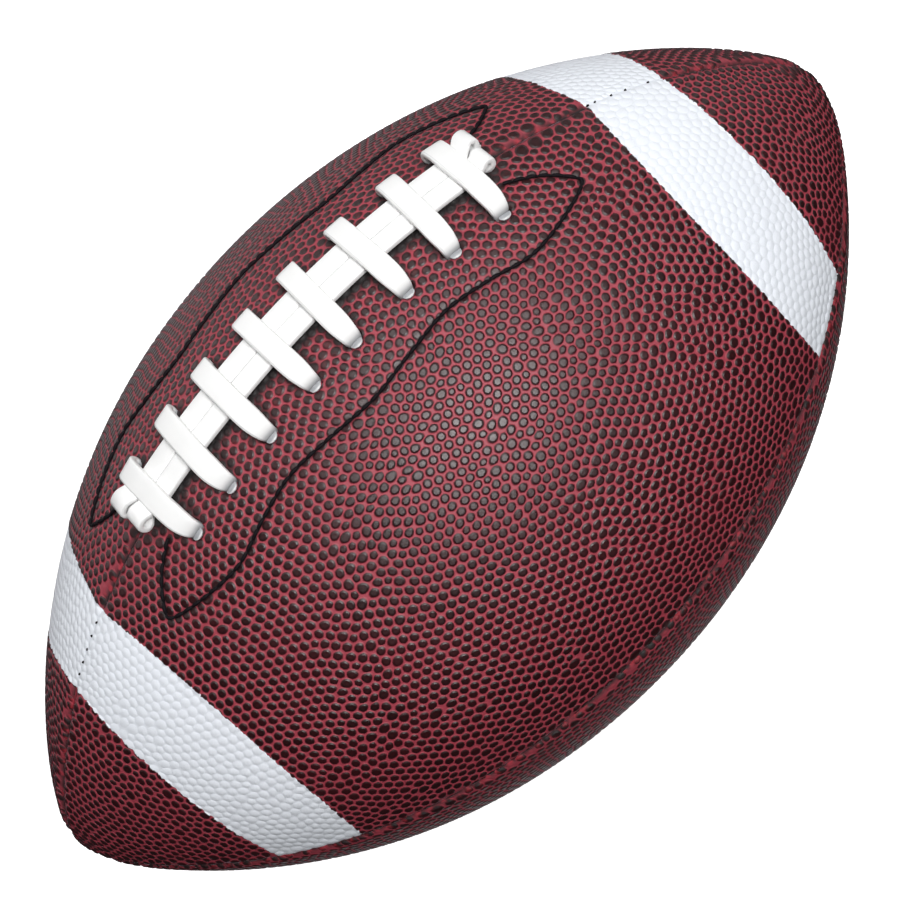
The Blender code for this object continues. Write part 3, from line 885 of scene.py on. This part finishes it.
def crossing(i, random):
    """One cross lace, up out of the front hole, over the strands and down into the back hole."""
    over = 0.0033 + random.uniform(-0.0001, 0.0001)
    rows = [
        (0.0132, INSIDE, 0.0050, 0.0016),
        (0.0151, -0.0062, 0.0038, 0.0019),
        (0.0158, -0.0040, 0.0036, 0.0021),
        (0.0160, -0.0016, 0.0042, 0.0020),
        (0.0158, 0.0000, 0.0048, 0.0018),
        (0.0149, 0.0013, 0.0053, 0.0017),
        (0.0131, 0.0023, 0.0059, LACE_THICKNESS),
        (0.0104, 0.0029, LACE_WIDTH, LACE_THICKNESS),
        (0.0066, over, LACE_WIDTH, LACE_THICKNESS),
        (0.0035, over + 0.0001, LACE_WIDTH, LACE_THICKNESS),
        (0.0000, over, LACE_WIDTH, LACE_THICKNESS),
        (-0.0035, over + 0.0001, LACE_WIDTH, LACE_THICKNESS),
        (-0.0066, over, LACE_WIDTH, LACE_THICKNESS),
        (-0.0092, 0.0030, LACE_WIDTH, LACE_THICKNESS),
        (-0.0107, 0.0022, LACE_WIDTH, LACE_THICKNESS),
        (-0.0115, 0.0007, 0.0060, 0.0018),
        (-0.0116, -0.0010, 0.0052, 0.0021),
        (-0.0114, -0.0044, 0.0036, 0.0021),
        (-0.0107, -0.0062, 0.0038, 0.0019),
        (-0.0088, INSIDE, 0.0050, 0.0016),
    ]
    return [(lace_x(i, s), s, height, width, thick, 1, 0) for s, height, width, thick in rows]


def diagonal(x_from, x_to):
    """The run inside the ball from one back hole to the next front hole."""
    stations = []
    for share in (0.33, 0.67):
        x = x_from + (x_to - x_from) * share
        stations.append((x, -0.0088 + 0.0220 * share, INSIDE, 0.0056, 0.0016, 1, 0))
    return stations


def lace_route():
    """Stations of the whole lace, from the tail inside at -X to the tail inside at +X."""
    random = np.random.default_rng(5)
    tail_left = [
        (-0.0700, 0.0034, INSIDE, 0.0046, 0.0016, 0, 1),
        (-0.0650, 0.0028, INSIDE, 0.0040, 0.0018, 0, 1),
        (-0.0620, 0.0019, -0.0062, 0.0028, 0.0022, 0, 1),
    ]
    link_right = [
        (0.0576, 0.0019, -0.0063, 0.0027, 0.0022, 0.3, 1),
        (0.0570, 0.0046, INSIDE, 0.0032, 0.0018, 0.8, 0.6),
        (0.0545, 0.0080, INSIDE, 0.0036, 0.0018, 0.9, 0.6),
        (0.0522, 0.0110, INSIDE, 0.0044, 0.0016, 1, 0.3),
    ]
    link_left = [
        (-0.0570, -0.0072, INSIDE, 0.0044, 0.0015, 1, -0.4),
        (-0.0590, -0.0048, INSIDE, 0.0034, 0.0015, 0.9, -0.8),
        (-0.0609, -0.0026, -0.0063, 0.0028, 0.0018, 0.6, -1),
    ]
    tail_right = [
        (0.0584, -0.0019, -0.0062, 0.0028, 0.0022, 0, 1),
        (0.0610, -0.0028, INSIDE, 0.0040, 0.0018, 0, 1),
        (0.0660, -0.0034, INSIDE, 0.0046, 0.0016, 0, 1),
    ]
    route = tail_left + strand_end(1, -1) + strand_run(1)
    route += list(reversed(strand_end(1, 1))) + link_right
    for i in range(LACE_COUNT - 1, -1, -1):
        route += crossing(i, random)
        if i:
            route += diagonal(lace_x(i, BACK_ROW), lace_x(i - 1, FRONT_ROW))
    route += link_left + strand_end(-1, -1) + strand_run(-1)
    return route + list(reversed(strand_end(-1, 1))) + tail_right


def arc_corner(centre, radius, start, end, count):
    """Corners along an arc of a strap's section, with no grey; the angles are in degrees."""
    turns = np.radians(np.linspace(start, end, count))
    return [(centre[0] + radius * math.cos(t), centre[1] + radius * math.sin(t), 0.0) for t in turns]


def strap_section(width, thick):
    """Corners (u, v, share of grey) of a moulded strap, with a folded lip along its edge on the low side; the
    grey on the lip is a painted shadow line.
    """
    a, b = 0.5 * width, 0.5 * thick
    r = 0.55 * b
    lip = a - 0.00045
    corners = arc_corner((a - r, -b + r), r, -80, 0, 4) + arc_corner((a - r, b - r), r, 10, 80, 4)
    corners += [(0.5 * a, 1.02 * b, 0), (-0.2 * a, 1.03 * b, 0), (-lip + 0.00018, b, 0)]
    corners += [(-lip + 0.00008, 0.98 * b, 0.1), (-lip, b - 0.00012, 0.35), (-lip - 0.00008, 0.86 * b, 0.1)]
    corners += arc_corner((-a + 0.8 * r, b - 0.00010 - r), 0.8 * r, 110, 180, 3)
    return corners + arc_corner((-a + r, -b + r), r, 190, 260, 4)


def sweep(stations, section, per_span):
    """A solid swept through the stations. Returns its points, faces and for each point its share of grey: the
    section's own, raised to painted shade where the lace sinks below the leather.
    """
    run = smooth_run(stations, per_span)
    x, s, height, width, thick, along_x, along_s = run.T
    centre, along, around, _ = place(x, s + lacing_sway(x), height)
    tangent = unit(np.gradient(centre, axis=0))
    wish = along_x[:, None] * along + along_s[:, None] * around
    wish = unit(wish - (wish * tangent).sum(1)[:, None] * tangent)
    points, values = [], []
    side = wish[0]
    for i in range(len(run)):
        side = wish[i] if side @ wish[i] > 0 else -wish[i]
        out = np.cross(side, tangent[i])
        # Painted shade: the lace turns grey where it sinks below the leather into its holes
        sunk = 0.75 * soft_step(-height[i], -0.0010, 0.0006)
        for u, v, value in section(width[i], thick[i]):
            points.append(centre[i] + u * side + v * out)
            values.append(max(value, float(sunk)))
    return points, ring_faces(len(run), len(points) // len(run)), values


def ring_faces(rings, corners):
    """Faces between rings of corners in a row, and across both ends."""
    faces = []
    for i in range(rings - 1):
        for j in range(corners):
            k = (j + 1) % corners
            faces.append((i * corners + j, i * corners + k, (i + 1) * corners + k, (i + 1) * corners + j))
    last = (rings - 1) * corners
    return [*faces, tuple(range(corners - 1, -1, -1)), tuple(range(last, last + corners))]


def add_lace():
    """The whole lace as one piece."""
    points, faces, grey = sweep(lace_route(), strap_section, 4)
    mesh = make_mesh("lace", points, faces, 60)
    set_values(mesh, "edge", grey)
    add_piece("white_lace", mesh, WHITE_LACE, ["lace"])


# Threads and the edges of the lace holes


def even_run(x, s, spacing):
    """The same run of places at an even spacing along it."""
    gaps = np.hypot(np.diff(x), np.diff(s))
    run = np.concatenate([[0], np.cumsum(gaps)])
    stops = np.linspace(0, run[-1], int(run[-1] / spacing) + 1)
    return stops, np.interp(stops, run, x), np.interp(stops, run, s)


def add_cord(name, points, radii):
    """A round cord through the points, thicker and thinner along its length."""
    tangent = unit(np.gradient(points, axis=0))
    upward = np.array([0.0, 0.0, 1.0])
    side = unit(np.cross(tangent, upward) + 1e-9)
    out = np.cross(side, tangent)
    turns = np.linspace(0, 2 * math.pi, 8, endpoint=False)
    rings = []
    for i, radius in enumerate(radii):
        for turn in turns:
            rings.append(points[i] + radius * (math.cos(turn) * side[i] + math.sin(turn) * out[i]))
    mesh = make_mesh(name, rings, ring_faces(len(radii), len(turns)))
    add_piece(f"{name}_thread", mesh, THREAD, [name])


def add_facing_stitches():
    """Lock stitches sunk in the leather: each one swells between the two holes it goes into."""
    for name, side in (("front", 1), ("back", -1)):
        run, x, s = even_run(*STITCHES[side].T, 0.00024)
        swell = np.abs(np.sin(math.pi * run / STITCH_LENGTH)) ** 0.6
        points = place(x, s, -0.00038 + 0.00040 * swell)[0]
        add_cord(f"facing_stitch_{name}", points, 0.00026 + 0.00024 * swell)


def hole_lip(x, s, side, points, faces, grey):
    """The end of the layer below, showing as a small pale lip where a lace goes into its hole."""
    start = len(points)
    across, length = 9, 6
    for v in np.linspace(0, 1, length):
        half = 0.00170 * math.sqrt(max(1 - (0.15 + 0.83 * v) ** 2.6, 0.02))
        for u in np.linspace(-1, 1, across):
            dome = (1 - u * u) * math.sin(math.pi * (0.25 + 0.65 * v))
            points.append(place(x + half * u, s + side * 0.0015 * v, -0.00005 + 0.00036 * dome)[0])
            # The lip's own light grey, darkened by painted shade next to the lace's end and down its middle
            grey.append(min(1.0, 0.38 + 1.2 * (1 - v) ** 2 + 0.7 * bump(v - 0.5, 0.2) * (1 - u * u)))
    for v in np.linspace(0, 1, length):
        half = 0.00155 * math.sqrt(max(1 - (0.15 + 0.83 * v) ** 2.6, 0.02))
        for u in np.linspace(-1, 1, across):
            points.append(place(x + half * u, s + side * 0.0014 * v, -0.0007)[0])
            # The hidden underside is painted full grey, as shade
            grey.append(1.0)
    under = start + across * length
    rim = [*range(across), *(across * (i + 1) - 1 for i in range(1, length))]
    rim += [*range(across * length - 2, across * (length - 1) - 1, -1)]
    rim += [across * i for i in range(length - 2, 0, -1)]
    for i in range(length - 1):
        for j in range(across - 1):
            quad = [across * i + j, across * i + j + 1, across * (i + 1) + j + 1, across * (i + 1) + j]
            faces.append(tuple(start + k for k in quad))
            faces.append(tuple(under + k for k in reversed(quad)))
    for k, after in zip(rim, rim[1:] + rim[:1]):
        faces.append((start + after, start + k, under + k, under + after))


def add_hole_lips():
    """One piece for the lips of each row of holes."""
    for name, row, side in (("front", FRONT_ROW, 1), ("back", BACK_ROW, -1)):
        points, faces, grey = [], [], []
        for i in range(LACE_COUNT):
            hole_lip(lace_x(i, row), row + LACE_SWAY[i] + side * 0.0011, side, points, faces, grey)
        faces = faces if side > 0 else [face[::-1] for face in faces]
        mesh = make_mesh(f"lace_hole_lips_{name}", points, faces, 50)
        set_values(mesh, "edge", grey)
        add_piece(f"lace_hole_lips_{name}", mesh, WHITE_LACE)


def add_top_seam_threads():
    """The thread of the top seam, which shows as a row of dots where the paint crosses the seam."""
    for name, start, end, dots in (
        ("top_left", -0.134, -0.0665, LEFT_DOTS),
        ("top_right", 0.0625, 0.134, RIGHT_DOTS),
    ):
        x = np.linspace(start, end, 700)
        height = np.full(len(x), BURIED)
        for dot in dots:
            height = np.maximum(height, BURIED + 0.0027 * bump(np.abs(x) - dot, 0.00036))
        points = raised(theta_of(x), 0 * x, height)
        add_cord(f"seam_thread_{name}", points, np.full(len(x), 0.00028))


# Floor, light and camera


def add_floor():
    """A pale round floor that curves up into a backdrop. It is seen, but casts no light on the ball."""
    profile = ((0, 0), (1.5, 0), (4.0, 0), (4.6, 0.06), (5.0, 0.26), (5.3, 0.7), (5.4, 1.5), (5.4, 5.0))
    turns = np.linspace(0, 2 * math.pi, 48, endpoint=False)
    points = [(0, 0, 0)]
    points += [(r * math.cos(t), r * math.sin(t), z) for r, z in profile[1:] for t in turns]
    count = len(turns)
    faces = [(0, 1 + j, 1 + (j + 1) % count) for j in range(count)]
    for i in range(len(profile) - 2):
        for j in range(count):
            k, low = (j + 1) % count, 1 + i * count
            faces.append((low + j, low + count + j, low + count + k, low + k))
    mesh = make_mesh("floor", points, faces)
    floor = add_object("floor", mesh)
    look = Look("floor", 0.9, 0.1)
    look.colour(look.mix(look.noise(3, 3), (0.90, 0.90, 0.90, 1), (0.92, 0.92, 0.92, 1)))
    look.shader.inputs["Emission Color"].default_value = (1, 1, 1, 1)
    look.shader.inputs["Emission Strength"].default_value = 0.7
    mesh.materials.append(look.material)
    floor.visible_diffuse = floor.visible_glossy = floor.visible_shadow = False


def view_axes(azimuth, elevation, roll):
    """Right, up and back of a view; azimuth 0 looks along +Y."""
    az, el, turn = (math.radians(a) for a in (azimuth, elevation, roll))
    back = Vector((math.cos(el) * math.sin(az), -math.cos(el) * math.cos(az), math.sin(el)))
    level = Vector((0, 0, 1)).cross(back).normalized()
    upright = back.cross(level)
    right = math.cos(turn) * level + math.sin(turn) * upright
    return right, back.cross(right), back


def put(thing, where, axes):
    """Places a camera or a light and turns it so that right, up and back are its own axes."""
    thing.matrix_world = Matrix.Translation(where) @ Matrix(axes).transposed().to_4x4()


def add_camera():
    right, up, back = axes = view_axes(-0.97, 54.75, -45.37)
    data = bpy.data.cameras.new("camera")
    data.lens = 77.3
    data.sensor_width = 36
    camera = add_object("camera", data)
    put(camera, CENTRE + 0.5342 * back + 0.00094 * right + 0.00205 * up, axes)
    bpy.context.scene.camera = camera


def add_area(name, azimuth, elevation, distance, size, power):
    data = bpy.data.lights.new(name, "AREA")
    data.shape = "DISK"
    data.size = size
    data.energy = power
    axes = view_axes(azimuth, elevation, 0)
    put(add_object(name, data), CENTRE + distance * axes[2], axes)


def add_world():
    world = bpy.data.worlds.new("studio")
    world.use_nodes = True
    background = world.node_tree.nodes["Background"]
    background.inputs["Color"].default_value = (1, 1, 1, 1)
    background.inputs["Strength"].default_value = 0.02
    bpy.context.scene.world = world
    bpy.context.scene.view_settings.view_transform = "Standard"


def dress_hidden_nodes():
    """Gives materials to the CAD parts that keep their own shape, inside the ball and in the seams."""
    looks = {"lining": LINING, "lace_facing": VINYL, "bladder_guard": VINYL, "bladder": RUBBER}
    looks |= {"valve_housing": RUBBER, "valve_core": VINYL, "seam_thread": THREAD, "facing_stitch": THREAD}
    for name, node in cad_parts.items():
        for start, look in looks.items():
            if name.startswith(start):
                node.data.materials.clear()
                node.data.materials.append(look)


add_camera()
add_world()
add_floor()
for light in LIGHTS:
    add_area(*light)
dress_hidden_nodes()
add_panel("panel_front_top", 11, 0, QUARTER)
add_panel("panel_back_top", 12, -QUARTER, 0)
add_panel("panel_front_bottom", 13, QUARTER, 2 * QUARTER)
add_panel("panel_back_bottom", 14, -2 * QUARTER, -QUARTER)
add_lace()
add_facing_stitches()
add_hole_lips()
add_top_seam_threads()
